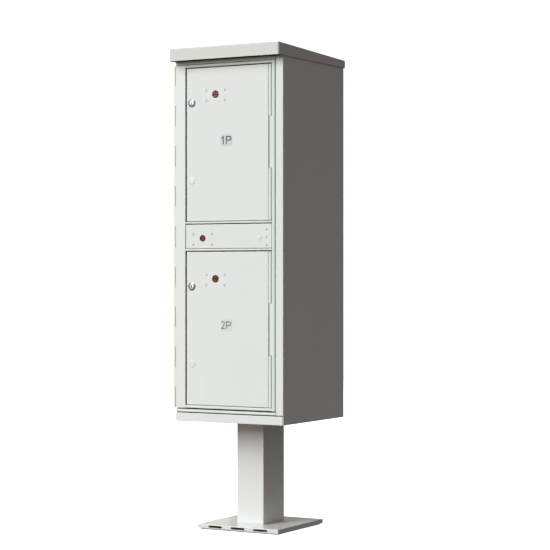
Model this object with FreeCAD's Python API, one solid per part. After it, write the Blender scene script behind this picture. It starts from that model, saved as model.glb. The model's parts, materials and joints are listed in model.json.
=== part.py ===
import FreeCAD, Part
import math
import os

# Outdoor pedestal mailbox unit with two parcel compartments.
# Millimetres. Origin: centre of the base plate's underside. +Z up, front faces -Y.

os.makedirs("parts", exist_ok=True)
Vec = FreeCAD.Vector

# ---------------------------------------------------------------- driving dimensions
# cabinet shell
CABINET_WIDTH = 405.0
CABINET_DEPTH = 417.0
CABINET_BOTTOM = 359.0
CABINET_TOP = 1538.0
SHEET = 2.3
REAR_FLANGE = 15.0

# hood
HOOD_FRONT_HEIGHT = 41.0
HOOD_REAR_HEIGHT = 25.3
HOOD_FRONT_OVERHANG = 35.3
HOOD_REAR_OVERHANG = 6.8
HOOD_SIDE_OVERHANG = 4.6
HOOD_CORNER_RADIUS = 6.0
HOOD_EDGE_RADIUS = 4.0
HOOD_FLANGE = 22.0
HOOD_FLANGE_SETBACK = 12.0

# front opening of the cabinet
SILL_HEIGHT = 28.1
FLOOR_RISE = 20.0
SILL_GAP = 3.1
THRESHOLD_HEIGHT = 8.9
THRESHOLD_GAP = 4.1
HEADER_HEIGHT = 10.6
HEADER_GAP = 1.2
JAMB_FACE = 28.1
JAMB_RETURN_DEPTH = 18.5
FRONT_BAR_DEPTH = 20.5
SIDE_EDGE_SETBACK = 6.0
SIDE_EDGE_CLEARANCE = 1.5

# master door frame
FRAME_DEPTH = 19.0
FRAME_WALL = 2.0
LEFT_STILE_WIDTH = 36.9
RIGHT_STILE_WIDTH = 11.9
RIGHT_STILE_ROUNDING = 6.0
BOTTOM_RAIL_HEIGHT = 9.6
TOP_RAIL_HEIGHT = 9.4
MID_RAIL_HEIGHT = 6.5
RAIL_PROUD = 0.8
RAIL_ROUNDING = 2.2
CENTRE_PANEL_HEIGHT = 78.4
PANEL_GAP_BELOW = 1.2
PANEL_GAP_ABOVE = 2.6
DOOR_GAP_BELOW = 1.6
DOOR_GAP_ABOVE = 3.0
LATCH_SIDE_GAP = 5.4
FREE_EDGE_GAP = 1.0
STOP_LIP = 8.0
STOP_LIP_THICKNESS = 1.8
EDGE_RADIUS = 3.0

# parcel doors and centre panel
PAN_DEPTH = 16.0
PAN_EDGE_RADIUS = 1.2
CENTRE_PAN_DEPTH = 17.2
PANEL_SIDE_GAP = 2.0
GROOVE_RADIUS = 2.0

# parcel door hinge: three knuckles on one pin
KNUCKLE_RADIUS = 5.3
KNUCKLE_GAP = 0.3
KNUCKLE_EDGE_GAP = 1.15
KNUCKLE_BLOCK_DEPTH = 10.5
PIN_RADIUS = 2.5
RUNNING_CLEARANCE = 0.05

# continuous hinge of the master door
BARREL_RADIUS = 4.75
BARREL_SEGMENTS = 17
BARREL_GAP = 0.3
HINGE_ROD_RADIUS = 1.95
LEAF_THICKNESS = 2.0
LEAF_REACH = 34.0

# locks
CUSTOMER_BEZEL_RADIUS = 14.0
CUSTOMER_BEZEL_PROUD = 2.6
CUSTOMER_BODY_RADIUS = 9.5
CUSTOMER_BODY_LENGTH = 21.0
CUSTOMER_PLUG_RADIUS = 7.4
CAM_THICKNESS = 2.0
CAM_WIDTH = 14.0
CAM_REACH = 36.0
NUT_ACROSS_FLATS = 26.0
NUT_THICKNESS = 5.0
CARRIER_CYLINDER_RADIUS = 12.0
MASTER_CYLINDER_RADIUS = 10.5
CYLINDER_RECESS = 1.0
DRIVE_DISC_RADIUS = 12.5
LOCK_CASE_LENGTH = 88.0
LOCK_CASE_HEIGHT = 48.0
LOCK_CASE_DEPTH = 23.0
LOCK_CASE_WALL = 2.5
BOLT_THICKNESS = 2.8
BOLT_HEIGHT = 12.0
BOLT_THROW = 14.0
CRANK_SWING = math.radians(45)
CRANK_PIN_RADIUS = 2.0
FORK_CLEARANCE = 0.9
FORK_PRONG = 4.0
STUD_SPACING_X = 70.0
STUD_SPACING_Z = 34.0
STUD_CENTRE_DROP = 3.0
STUD_RADIUS = 2.5
STUD_HEAD_RADIUS = 4.0
STUD_HEAD_HEIGHT = 1.1

# door fittings, measured down from the door's top edge and across from the centre plane
CUSTOMER_LOCK_X = -140.2
CUSTOMER_LOCK_DROP = 112.6
CARRIER_LOCK_X = -49.9
CARRIER_LOCK_DROP = 88.1
HOLE_PLUG_X = -138.8
HOLE_PLUG_DROP = 366.1
NUMBER_X = -8.1
NUMBER_DROP = 238.1
NUMBER_SIZE = (41.5, 37.5)
MASTER_LOCK_X = -98.7
MASTER_LOCK_DROP = 45.0
SMALL_PLUG_X = 114.3
SMALL_PLUG_DROP = 45.0
PANEL_RIVET_X = 141.1

# pedestal
PLATE_SIDE = 304.8
PLATE_THICKNESS = 17.5
PLATE_REBATE_HEIGHT = 4.0
PLATE_REBATE_DEPTH = 7.0
CHAMBER_WIDTH = 52.0
CHAMBER_HEIGHT = 7.4
CHAMBER_PITCH = 85.3
CHAMBER_CENTRE_Z = 10.4
ANCHOR_SPACING = 254.0
ANCHOR_HOLE_RADIUS = 7.15
POST_WIDTH = 101.6
POST_DEPTH = 139.7
POST_WALL = 4.8
POST_RADIUS = 3.0
FLANGE_SIZE = (152.0, 190.0)
FLANGE_THICKNESS = 8.0
FLANGE_BOLT_SPACING = (124.0, 164.0)
M10_RADIUS = 5.0
M10_HOLE_RADIUS = 5.5
M10_HEX = 16.0
M10_HEAD = 6.4
M10_NUT = 8.0
BOLT_FLANGE_RADIUS = 10.0
BOLT_FLANGE_THICKNESS = 2.0

# inside
SHELF_FRONT = 30.5
CLEAT_LEG = 18.0
CLEAT_THICKNESS = 2.0
CLEAT_INSET = 10.0

# ---------------------------------------------------------------- derived places
X_LEFT = -CABINET_WIDTH / 2
X_RIGHT = CABINET_WIDTH / 2
Y_FRONT = -CABINET_DEPTH / 2
Y_BACK = CABINET_DEPTH / 2
Y_BARS_BACK = Y_FRONT + FRONT_BAR_DEPTH
Y_FRAME_BACK = Y_FRONT + FRAME_DEPTH
Y_SKIN_BACK = Y_FRONT + SHEET

Z_SILL_TOP = CABINET_BOTTOM + SILL_HEIGHT
Z_THRESHOLD = Z_SILL_TOP + SILL_GAP
Z_THRESHOLD_TOP = Z_THRESHOLD + THRESHOLD_HEIGHT
Z_HEADER = CABINET_TOP - HEADER_HEIGHT
Z_FRAME_BOTTOM = Z_THRESHOLD_TOP + THRESHOLD_GAP
Z_FRAME_TOP = Z_HEADER - HEADER_GAP

Z_TOP_RAIL = Z_FRAME_TOP - TOP_RAIL_HEIGHT
Z_LOWER_DOOR = Z_FRAME_BOTTOM + BOTTOM_RAIL_HEIGHT + DOOR_GAP_BELOW
MIDDLE_HEIGHT = 2 * MID_RAIL_HEIGHT + PANEL_GAP_BELOW + CENTRE_PANEL_HEIGHT + PANEL_GAP_ABOVE
PARCEL_DOOR_HEIGHT = (Z_TOP_RAIL - Z_LOWER_DOOR - MIDDLE_HEIGHT
                      - 2 * DOOR_GAP_ABOVE - DOOR_GAP_BELOW) / 2
Z_LOWER_MID_RAIL = Z_LOWER_DOOR + PARCEL_DOOR_HEIGHT + DOOR_GAP_ABOVE
Z_PANEL = Z_LOWER_MID_RAIL + MID_RAIL_HEIGHT + PANEL_GAP_BELOW
Z_UPPER_MID_RAIL = Z_PANEL + CENTRE_PANEL_HEIGHT + PANEL_GAP_ABOVE
Z_UPPER_DOOR = Z_UPPER_MID_RAIL + MID_RAIL_HEIGHT + DOOR_GAP_BELOW

X_JAMB = X_RIGHT - JAMB_FACE
X_FRAME_LEFT = X_LEFT + 0.4
X_FRAME_RIGHT = X_JAMB - FREE_EDGE_GAP
X_LEFT_STILE_IN = X_FRAME_LEFT + LEFT_STILE_WIDTH
X_RIGHT_STILE_IN = X_FRAME_RIGHT - RIGHT_STILE_WIDTH
X_DOOR_LEFT = X_LEFT_STILE_IN + LATCH_SIDE_GAP
X_PANEL_LEFT = X_LEFT_STILE_IN + PANEL_SIDE_GAP
X_PIN = X_RIGHT_STILE_IN - KNUCKLE_RADIUS - KNUCKLE_EDGE_GAP
Y_PIN = Y_FRONT + KNUCKLE_RADIUS
X_DOOR_RIGHT = X_PIN - KNUCKLE_RADIUS - KNUCKLE_EDGE_GAP
X_PANEL_RIGHT = X_PIN + KNUCKLE_RADIUS
X_GROOVE = X_DOOR_RIGHT + KNUCKLE_EDGE_GAP / 2

X_BARREL = X_LEFT - BARREL_RADIUS - 0.05
Y_BARREL = Y_FRONT + BARREL_RADIUS - 0.25

Y_BOLT = Y_FRAME_BACK + 0.5
CRANK_RADIUS = BOLT_THROW / 2 / math.sin(CRANK_SWING)
CRANK_RISE = CRANK_RADIUS * math.cos(CRANK_SWING)
FORK_SLOT = 2 * CRANK_PIN_RADIUS + FORK_CLEARANCE
Z_FLOOR = CABINET_BOTTOM + FLOOR_RISE
Z_POST_TOP = Z_FLOOR - FLANGE_THICKNESS
Z_ROOF = CABINET_TOP - SHEET
Y_SHELF = Y_FRONT + SHELF_FRONT
Z_LOWER_TRAY = Z_LOWER_DOOR - 6.0
Z_LOWER_CEILING = Z_LOWER_MID_RAIL + 2.0
Z_UPPER_SHELF = Z_UPPER_MID_RAIL


# ---------------------------------------------------------------- shape helpers
def block(x0, x1, y0, y1, z0, z1):
    return Part.makeBox(x1 - x0, y1 - y0, z1 - z0, Vec(x0, y0, z0))


def cylinder_y(radius, x, z, y0, y1):
    return Part.makeCylinder(radius, y1 - y0, Vec(x, y0, z), Vec(0, 1, 0))


def cylinder_z(radius, x, y, z0, z1):
    return Part.makeCylinder(radius, z1 - z0, Vec(x, y, z0), Vec(0, 0, 1))


def prism(points, direction):
    wire = Part.makePolygon([Vec(*p) for p in points] + [Vec(*points[0])])
    return Part.Face(wire).extrude(Vec(*direction))


def hexagon(across_flats, centre, axis_letter, thickness):
    """Hexagonal prism whose near face is centred on a point."""
    radius = across_flats / math.sqrt(3)
    points = []
    for i in range(6):
        a = math.radians(60 * i + 30)
        u, v = radius * math.cos(a), radius * math.sin(a)
        if axis_letter == "z":
            points.append((centre[0] + u, centre[1] + v, centre[2]))
        else:
            points.append((centre[0] + u, centre[1], centre[2] + v))
    direction = (0, 0, thickness) if axis_letter == "z" else (0, thickness, 0)
    return prism(points, direction)


def fillet_where(shape, radius, test):
    """Round the straight edges whose two end points pass the test."""
    edges = []
    for edge in shape.Edges:
        if len(edge.Vertexes) != 2:
            continue
        a, b = (v.Point for v in edge.Vertexes)
        if test(a, b):
            edges.append(edge)
    return shape.makeFillet(radius, edges)


def near(a, b):
    return abs(a - b) < 1e-4


def front_cross_edge(a, b, y=None):
    """Test for an edge that runs left to right on the front plane, or on another plane y."""
    plane = Y_FRONT if y is None else y
    return near(a.y, plane) and near(b.y, plane) and not near(a.x, b.x)


def upright_at(x, y):
    """Test for the upright edge that stands at a point in plan."""
    def test(a, b):
        return near(a.x, x) and near(b.x, x) and near(a.y, y) and near(b.y, y) and not near(a.z, b.z)
    return test


def upright(a, b):
    return near(a.x, b.x) and near(a.y, b.y)


def union(shapes):
    result = shapes[0]
    for shape in shapes[1:]:
        result = result.fuse(shape)
    return result.removeSplitter()


def save(name, *shapes):
    shape = shapes[0] if len(shapes) == 1 else Part.makeCompound(list(shapes))
    if len(shape.Solids) != len(shapes):
        raise ValueError(name + ": expected " + str(len(shapes)) + " solids, got " + str(len(shape.Solids)))
    for solid in shape.Solids:
        if not solid.isValid():
            raise ValueError(name + ": not a valid solid")
    shape.exportStep("parts/" + name + ".step")


def corners(spacing_a, spacing_b, centre_a=0.0, centre_b=0.0):
    return [(centre_a + i * spacing_a / 2, centre_b + j * spacing_b / 2) for i in (-1, 1) for j in (-1, 1)]


# ---------------------------------------------------------------- pedestal
def base_plate():
    """Extruded plate with three chambers front to back, rebated underneath along its edges."""
    half = PLATE_SIDE / 2
    plate = block(-half, half, -half, half, PLATE_REBATE_HEIGHT, PLATE_THICKNESS)
    plate = fillet_where(plate, 1.5, lambda a, b: near(a.z, PLATE_THICKNESS) and near(b.z, PLATE_THICKNESS))
    foot = half - PLATE_REBATE_DEPTH
    plate = union([plate, block(-foot, foot, -foot, foot, 0, PLATE_REBATE_HEIGHT)])
    for i in (-1, 0, 1):
        x = i * CHAMBER_PITCH
        chamber = block(x - CHAMBER_WIDTH / 2, x + CHAMBER_WIDTH / 2, -half - 1, half + 1,
                        CHAMBER_CENTRE_Z - CHAMBER_HEIGHT / 2, CHAMBER_CENTRE_Z + CHAMBER_HEIGHT / 2)
        chamber = fillet_where(chamber, CHAMBER_HEIGHT / 2 - 0.4, lambda a, b: not near(a.y, b.y))
        plate = plate.cut(chamber)
    for x, y in corners(ANCHOR_SPACING, ANCHOR_SPACING):
        plate = plate.cut(cylinder_z(ANCHOR_HOLE_RADIUS, x, y, -1, PLATE_THICKNESS + 1))
    save("base_plate", plate)


def pedestal_post():
    hx, hy = POST_WIDTH / 2, POST_DEPTH / 2
    post = block(-hx, hx, -hy, hy, PLATE_THICKNESS, Z_POST_TOP)
    post = fillet_where(post, POST_RADIUS, lambda a, b: not near(a.z, b.z))
    bore = block(-hx + POST_WALL, hx - POST_WALL, -hy + POST_WALL, hy - POST_WALL,
                 PLATE_THICKNESS - 1, Z_POST_TOP + 1)
    save("pedestal_post", post.cut(bore))


def pedestal_top_flange():
    hx, hy = FLANGE_SIZE[0] / 2, FLANGE_SIZE[1] / 2
    flange = block(-hx, hx, -hy, hy, Z_POST_TOP, Z_FLOOR)
    flange = fillet_where(flange, 10, lambda a, b: not near(a.z, b.z))
    for x, y in corners(*FLANGE_BOLT_SPACING):
        flange = flange.cut(cylinder_z(M10_HOLE_RADIUS, x, y, Z_POST_TOP - 1, Z_FLOOR + 1))
    save("pedestal_top_flange", flange)


def pedestal_fasteners():
    """Flanged hex bolts through the cabinet floor, with hex nuts under the pedestal flange."""
    floor_top = Z_FLOOR + SHEET
    head_z = floor_top + BOLT_FLANGE_THICKNESS
    bolts, nuts = [], []
    for x, y in corners(*FLANGE_BOLT_SPACING):
        shank = cylinder_z(M10_RADIUS, x, y, Z_POST_TOP - M10_NUT - 3, head_z)
        flange = cylinder_z(BOLT_FLANGE_RADIUS, x, y, floor_top, head_z)
        bolts.append(union([shank, flange, hexagon(M10_HEX, (x, y, head_z), "z", M10_HEAD)]))
        nut = hexagon(M10_HEX, (x, y, Z_POST_TOP - M10_NUT), "z", M10_NUT)
        nuts.append(nut.cut(cylinder_z(M10_RADIUS, x, y, Z_POST_TOP - M10_NUT - 1, Z_POST_TOP + 1)))
    save("pedestal_bolts", *bolts)
    save("pedestal_nuts", *nuts)


# ---------------------------------------------------------------- cabinet shell
def floor_panel():
    """Raised tray: its turned-down edges hide the pedestal's flange and its nuts."""
    x0, x1 = X_LEFT + SHEET, X_RIGHT - SHEET
    y0, y1 = Y_SKIN_BACK, Y_BACK - 2 * SHEET
    z0, z1 = CABINET_BOTTOM + SHEET, Z_FLOOR + SHEET
    hollow = block(x0 + SHEET, x1 - SHEET, y0 + SHEET, y1 - SHEET, z0 - 1, Z_FLOOR)
    floor = block(x0, x1, y0, y1, z0, z1).cut(hollow)
    for x, y in corners(*FLANGE_BOLT_SPACING):
        floor = floor.cut(cylinder_z(M10_HOLE_RADIUS, x, y, Z_FLOOR - 1, Z_FLOOR + SHEET + 1))
    save("floor_panel", floor)


def side_edge(z0, z1):
    """Front edge of the left side panel, which the sill and the threshold are coped around."""
    return block(X_LEFT, X_LEFT + SHEET, Y_FRONT + SIDE_EDGE_SETBACK, Y_BARS_BACK, z0, z1)


def front_sill():
    right = X_RIGHT - SHEET - 0.2
    web = block(X_LEFT, right, Y_FRONT, Y_SKIN_BACK, CABINET_BOTTOM, Z_SILL_TOP)
    bottom = block(X_LEFT, right, Y_FRONT, Y_BARS_BACK, CABINET_BOTTOM, CABINET_BOTTOM + SHEET)
    top = block(X_LEFT, right, Y_FRONT, Y_BARS_BACK, Z_SILL_TOP - SHEET, Z_SILL_TOP)
    sill = union([web, bottom, top])
    sill = fillet_where(sill, 1.5, front_cross_edge)
    save("front_sill", sill.cut(side_edge(CABINET_BOTTOM, Z_SILL_TOP)))


def hollow_bar(x0, x1, z0, z1):
    """Box-section bar across the front of the cabinet with softened front edges."""
    bar = block(x0, x1, Y_FRONT, Y_BARS_BACK, z0, z1)
    bar = fillet_where(bar, 1.2, front_cross_edge)
    bore = block(x0 - 1, x1 + 1, Y_FRONT + FRAME_WALL, Y_BARS_BACK - FRAME_WALL,
                 z0 + FRAME_WALL, z1 - FRAME_WALL)
    return bar.cut(bore)


def threshold_and_header():
    threshold = hollow_bar(X_LEFT, X_JAMB - 0.2, Z_THRESHOLD, Z_THRESHOLD_TOP)
    save("threshold_rail", threshold.cut(side_edge(Z_THRESHOLD, Z_THRESHOLD_TOP)))
    save("header_rail", hollow_bar(X_LEFT, X_JAMB - 0.2, Z_HEADER, CABINET_TOP))


def side_panels():
    rear = Y_BACK - SHEET
    left = union([
        block(X_LEFT, X_LEFT + SHEET, Y_BARS_BACK, rear, CABINET_BOTTOM, CABINET_TOP),
        block(X_LEFT, X_LEFT + REAR_FLANGE, rear - SHEET, rear, CABINET_BOTTOM, CABINET_TOP),
        side_edge(CABINET_BOTTOM, Z_FRAME_BOTTOM - SIDE_EDGE_CLEARANCE),
    ])
    save("left_side_panel", left)
    right = union([
        block(X_RIGHT - SHEET, X_RIGHT, Y_FRONT, rear, CABINET_BOTTOM, CABINET_TOP),
        block(X_RIGHT - REAR_FLANGE, X_RIGHT, rear - SHEET, rear, CABINET_BOTTOM, CABINET_TOP),
        block(X_JAMB, X_RIGHT, Y_FRONT, Y_SKIN_BACK, CABINET_BOTTOM, CABINET_TOP),
        block(X_JAMB, X_JAMB + SHEET, Y_FRONT, Y_FRONT + JAMB_RETURN_DEPTH, CABINET_BOTTOM, CABINET_TOP),
    ])
    right = fillet_where(right, EDGE_RADIUS, upright_at(X_JAMB, Y_FRONT))
    right = fillet_where(right, 1.5, upright_at(X_RIGHT, Y_FRONT))
    notch = block(X_JAMB - 1, X_RIGHT - SHEET, Y_FRONT - 1, Y_BARS_BACK, CABINET_BOTTOM - 1, Z_THRESHOLD)
    step = block(X_JAMB - 1, X_RIGHT + 1, Y_FRONT - 1, Y_FRONT + 2.0, CABINET_BOTTOM - 1, Z_THRESHOLD)
    save("right_side_panel", right.cut(notch).cut(step))


def back_and_roof():
    save("back_panel", block(X_LEFT, X_RIGHT, Y_BACK - SHEET, Y_BACK, CABINET_BOTTOM, CABINET_TOP))
    roof = block(X_LEFT + SHEET, X_RIGHT - SHEET, Y_BARS_BACK, Y_BACK - 2 * SHEET, Z_ROOF, CABINET_TOP)
    for x, y in hood_screw_places():
        roof = roof.cut(cylinder_z(2.6, x, y, Z_ROOF - 1, CABINET_TOP + 1))
    save("roof_panel", roof)


def hood_screw_places():
    return corners(2 * (X_RIGHT - 12.0), 240.0)


def hood_profile(y_front, y_back, z_front, z_back, z_bottom, x):
    return [(x, y_front, z_bottom), (x, y_back, z_bottom), (x, y_back, z_back), (x, y_front, z_front)]


def hood():
    """Sloping cap: deep front face, open underneath in front of the cabinet, turned-in lower flange."""
    x0 = X_LEFT - HOOD_SIDE_OVERHANG
    x1 = X_RIGHT + HOOD_SIDE_OVERHANG
    y0 = Y_FRONT - HOOD_FRONT_OVERHANG
    y1 = Y_BACK + HOOD_REAR_OVERHANG
    z_front = CABINET_TOP + HOOD_FRONT_HEIGHT
    z_back = CABINET_TOP + HOOD_REAR_HEIGHT
    outer = prism(hood_profile(y0, y1, z_front, z_back, CABINET_TOP, x0), (x1 - x0, 0, 0))
    outer = fillet_where(outer, HOOD_CORNER_RADIUS, upright)
    top_edges = [e for e in outer.Edges if min(v.Point.z for v in e.Vertexes) > CABINET_TOP + 1]
    outer = outer.makeFillet(HOOD_EDGE_RADIUS, top_edges)
    slope = (z_back - z_front) / (y1 - y0)
    yi0, yi1 = y0 + SHEET, y1 - SHEET
    zi_front = z_front + slope * SHEET - SHEET
    zi_back = z_back - slope * SHEET - SHEET
    inside = prism(hood_profile(yi0, yi1, zi_front, zi_back, CABINET_TOP - 1, x0 + SHEET),
                   (x1 - x0 - 2 * SHEET, 0, 0))
    inside = fillet_where(inside, HOOD_CORNER_RADIUS - SHEET, upright)
    y_flange = Y_FRONT + HOOD_FLANGE_SETBACK
    flange = block(x0, x1, y_flange, y1, CABINET_TOP, CABINET_TOP + SHEET)
    mouth = block(x0 + HOOD_FLANGE, x1 - HOOD_FLANGE, y_flange + HOOD_FLANGE, y1 - HOOD_FLANGE,
                  CABINET_TOP - 1, CABINET_TOP + SHEET + 1)
    cap = outer.cut(inside.cut(flange)).cut(mouth)
    for x, y in hood_screw_places():
        cap = cap.cut(cylinder_z(2.5, x, y, CABINET_TOP - 1, CABINET_TOP + SHEET + 1))
    save("hood", cap)
    screws = []
    for x, y in hood_screw_places():
        head = cylinder_z(4.6, x, y, Z_ROOF - 2.6, Z_ROOF)
        screws.append(union([head, cylinder_z(2.5, x, y, Z_ROOF - 1, CABINET_TOP + 9)]))
    save("hood_screws", *screws)


def shelves():
    """Flat shelf sheets, each held by an angle along either side panel."""
    for name, z in (("lower_compartment_floor", Z_LOWER_TRAY),
                    ("lower_compartment_ceiling", Z_LOWER_CEILING),
                    ("upper_compartment_floor", Z_UPPER_SHELF)):
        save(name, block(X_LEFT + SHEET, X_RIGHT - SHEET, Y_SHELF, Y_BACK - 2 * SHEET, z, z + SHEET))
    cleats = []
    for z, up in ((Z_LOWER_TRAY, -1), (Z_LOWER_CEILING + SHEET, 1), (Z_UPPER_SHELF, -1)):
        for side in (-1, 1):
            cleats.append(cleat(side, z, up))
    save("shelf_cleats", *cleats)


def cleat(side, z, up):
    """Angle fixed to a side panel, under (up = -1) or over (up = 1) a shelf face at height z."""
    x_wall = side * (X_RIGHT - SHEET)
    xa, xb = sorted((x_wall, x_wall - side * CLEAT_THICKNESS))
    xc, xd = sorted((x_wall, x_wall - side * CLEAT_LEG))
    za, zb = sorted((z, z + up * CLEAT_LEG))
    zc, zd = sorted((z, z + up * CLEAT_THICKNESS))
    y0, y1 = Y_SHELF + CLEAT_INSET, Y_BACK - 2 * SHEET - CLEAT_INSET
    return union([block(xa, xb, y0, y1, za, zb), block(xc, xd, y0, y1, zc, zd)])


def facing(shape, x, y, z, direction):
    """Turns a shape made at the origin and facing the front to a level direction, and places it."""
    shape.rotate(Vec(0, 0, 0), Vec(0, 0, 1), math.degrees(math.atan2(direction[0], -direction[1])))
    shape.translate(Vec(x, y, z))
    return shape


def dome(x, y, z, radius, height):
    """Low domed head with its flat base at (x, y, z)."""
    sphere_radius = (radius ** 2 + height ** 2) / (2 * height)
    ball = Part.makeSphere(sphere_radius, Vec(0, sphere_radius - height, 0))
    disc = Part.makeCylinder(radius + 0.1, height + 0.2, Vec(0, 0, 0), Vec(0, -1, 0))
    return facing(ball.common(disc), x, y, z, (0, -1, 0))


def rivet(x, y, z, direction, radius=3.4, height=1.1):
    """Blind rivet's flange: a thin disc with a broad chamfer."""
    front = Vec(0, -1, 0)
    disc = Part.makeCylinder(radius, height * 0.4, Vec(0, 0, 0), front)
    cone = Part.makeCone(radius, radius * 0.6, height * 0.6, Vec(0, -height * 0.4, 0), front)
    return facing(union([disc, cone]), x, y, z, direction)


def shell_rivets():
    rivets = []
    count = 9
    for side in (-1, 1):
        for i in range(count):
            z = CABINET_BOTTOM + 30 + i * (CABINET_TOP - CABINET_BOTTOM - 60) / (count - 1)
            rivets.append(rivet(side * (X_RIGHT - REAR_FLANGE / 2), Y_BACK, z, (0, 1, 0)))
    rivets.append(rivet(X_JAMB + 5.4, Y_FRONT, Z_THRESHOLD + 8.3, (0, -1, 0), 2.2, 0.8))
    save("shell_rivets", *rivets)


# ---------------------------------------------------------------- continuous hinge, left edge
def barrel_segments():
    """Lower and upper end of each knuckle of the continuous hinge, bottom to top."""
    z0, z1 = Z_FRAME_BOTTOM, Z_FRAME_TOP
    pitch = (z1 - z0) / BARREL_SEGMENTS
    return [(z0 + i * pitch, z0 + (i + 1) * pitch) for i in range(BARREL_SEGMENTS)]


def hinge_leaf():
    """Cabinet leaf: a strip on the left side whose odd knuckles carry the rod."""
    x_out = X_LEFT - LEAF_THICKNESS
    y_strip = Y_BARREL + BARREL_RADIUS + 0.8
    y_end = Y_BARREL + LEAF_REACH
    segments = barrel_segments()
    leaf = block(x_out, X_LEFT, y_strip, y_end, segments[0][0], segments[-1][1])
    pieces = [leaf]
    for z0, z1 in segments[0::2]:
        za, zb = z0 + BARREL_GAP / 2, z1 - BARREL_GAP / 2
        pieces.append(cylinder_z(BARREL_RADIUS, X_BARREL, Y_BARREL, za, zb))
        pieces.append(block(x_out, X_LEFT, Y_BARREL + 1.0, y_strip, za, zb))
    shape = union(pieces)
    bore = cylinder_z(HINGE_ROD_RADIUS + RUNNING_CLEARANCE, X_BARREL, Y_BARREL,
                      segments[0][0] - 1, segments[-1][1] + 1)
    save("master_hinge_leaf", shape.cut(bore))
    rod = union([
        cylinder_z(HINGE_ROD_RADIUS, X_BARREL, Y_BARREL, segments[0][0] - 1.0, segments[-1][1] + 0.6),
        cylinder_z(BARREL_RADIUS - 0.8, X_BARREL, Y_BARREL, segments[0][0] - 1.2, segments[0][0] - 0.1),
    ])
    save("master_hinge_rod", rod)
    rivets = []
    for z0, z1 in segments[0::2]:
        rivets.append(rivet(x_out, Y_BARREL + LEAF_REACH - 12, (z0 + z1) / 2, (-1, 0, 0)))
    save("hinge_leaf_rivets", *rivets)


# ---------------------------------------------------------------- master door frame
def left_stile():
    """Box extrusion with a door stop lip behind and the even knuckles on its left edge."""
    z0, z1 = Z_FRAME_BOTTOM, Z_FRAME_TOP
    tube = block(X_FRAME_LEFT, X_LEFT_STILE_IN, Y_FRONT, Y_FRAME_BACK, z0, z1)
    lip = block(X_LEFT_STILE_IN - 1, X_LEFT_STILE_IN + STOP_LIP,
                Y_FRAME_BACK - STOP_LIP_THICKNESS, Y_FRAME_BACK, z0, z1)
    pieces = [tube, lip]
    for za, zb in barrel_segments()[1::2]:
        lower, upper = za + BARREL_GAP / 2, zb - BARREL_GAP / 2
        pieces.append(cylinder_z(BARREL_RADIUS, X_BARREL, Y_BARREL, lower, upper))
        pieces.append(block(X_BARREL, X_FRAME_LEFT + 1, Y_BARREL - BARREL_RADIUS + 0.5, Y_BARREL - 0.5,
                            lower, upper))
    stile = union(pieces)
    bore = block(X_FRAME_LEFT + FRAME_WALL, X_LEFT_STILE_IN - FRAME_WALL,
                 Y_FRONT + FRAME_WALL, Y_FRAME_BACK - FRAME_WALL, z0 - 1, z1 + 1)
    rod_bore = cylinder_z(HINGE_ROD_RADIUS + RUNNING_CLEARANCE, X_BARREL, Y_BARREL, z0 - 1, z1 + 1)
    stile = fillet_where(stile, 1.5, upright_at(X_LEFT_STILE_IN, Y_FRONT))
    save("master_left_stile", stile.cut(bore).cut(rod_bore))


def door_thirds(z_door):
    """Heights that split a parcel door's hinge into three equal knuckles."""
    third = PARCEL_DOOR_HEIGHT / 3
    return [z_door + i * third for i in range(4)]


def knuckle(z0, z1, toward):
    """Round knuckle on the parcel door pin with a flush block on one side of it."""
    x_far = X_RIGHT_STILE_IN if toward > 0 else X_DOOR_RIGHT
    xa, xb = sorted((X_PIN, x_far + toward * 0.5))
    body = block(xa, xb, Y_FRONT, Y_FRONT + KNUCKLE_BLOCK_DEPTH, z0, z1)
    return [cylinder_z(KNUCKLE_RADIUS, X_PIN, Y_PIN, z0, z1), body]


def right_stile():
    """Free-edge extrusion carrying the middle knuckle of each parcel door hinge."""
    z0, z1 = Z_FRAME_BOTTOM, Z_FRAME_TOP
    tube = block(X_RIGHT_STILE_IN, X_FRAME_RIGHT, Y_FRONT, Y_FRAME_BACK, z0, z1)
    tube = fillet_where(tube, RIGHT_STILE_ROUNDING, upright_at(X_FRAME_RIGHT, Y_FRONT))
    bore = block(X_RIGHT_STILE_IN + FRAME_WALL, X_FRAME_RIGHT - FRAME_WALL,
                 Y_FRONT + 2 * FRAME_WALL, Y_FRAME_BACK - FRAME_WALL, z0 - 1, z1 + 1)
    pieces = [tube.cut(bore)]
    for z_door in (Z_LOWER_DOOR, Z_UPPER_DOOR):
        levels = door_thirds(z_door)
        pieces += knuckle(levels[1] + KNUCKLE_GAP, levels[2] - KNUCKLE_GAP, 1)
    stile = union(pieces)
    pin_bore = cylinder_z(PIN_RADIUS + RUNNING_CLEARANCE, X_PIN, Y_PIN, z0, z1)
    save("master_right_stile", stile.cut(pin_bore))


def rail(name, z0, z1, lip_up, lip_down, proud=0.0):
    """Cross rail between the stiles, notched at the left stile's lip, with stop lips of its own."""
    y_face = Y_FRONT - proud
    bar = block(X_LEFT_STILE_IN, X_RIGHT_STILE_IN, y_face, Y_FRAME_BACK, z0, z1)
    bar = fillet_where(bar, RAIL_ROUNDING, lambda a, b: front_cross_edge(a, b, y_face))
    y_lip = Y_FRAME_BACK - STOP_LIP_THICKNESS
    lip = block(X_LEFT_STILE_IN + STOP_LIP, X_DOOR_RIGHT - 4, y_lip, Y_FRAME_BACK,
                z0 - lip_down, z1 + lip_up)
    notch = block(X_LEFT_STILE_IN, X_LEFT_STILE_IN + STOP_LIP, y_lip, Y_FRAME_BACK, z0, z1)
    shape = union([bar, lip]).cut(notch)
    if z1 - z0 > 4 * FRAME_WALL:
        shape = shape.cut(block(X_LEFT_STILE_IN - 1, X_RIGHT_STILE_IN + 1, Y_FRONT + FRAME_WALL,
                                y_lip - 0.2, z0 + FRAME_WALL, z1 - FRAME_WALL))
    save(name, shape)


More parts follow.
